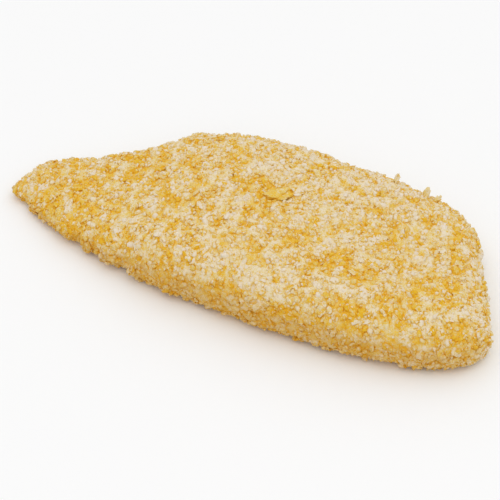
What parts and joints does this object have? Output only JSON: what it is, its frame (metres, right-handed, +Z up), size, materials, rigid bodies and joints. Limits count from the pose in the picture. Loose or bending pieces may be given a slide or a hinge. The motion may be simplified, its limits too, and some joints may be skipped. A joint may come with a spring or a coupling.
{
  "type": "breaded fish fillet",
  "caption": "Uncooked breaded fish fillet with a thin tail and a broad cut end, rolled in coarse pale golden breadcrumbs, lying flat.",
  "frame": {"origin": "bottom centre of the bounding box, on the plane the fillet rests on", "axes": "+X along the length, from the thin tail to the broad cut end; +Y towards the bowed back edge; +Z up"},
  "size_m": [0.1668, 0.0752, 0.0186],
  "materials": {
    "breading": "dry, matt, coarse breadcrumbs: cream, pale yellow and golden"
  },
  "bodies": {
    "root": {"fillet": "breading"}
  },
  "joints": []
}
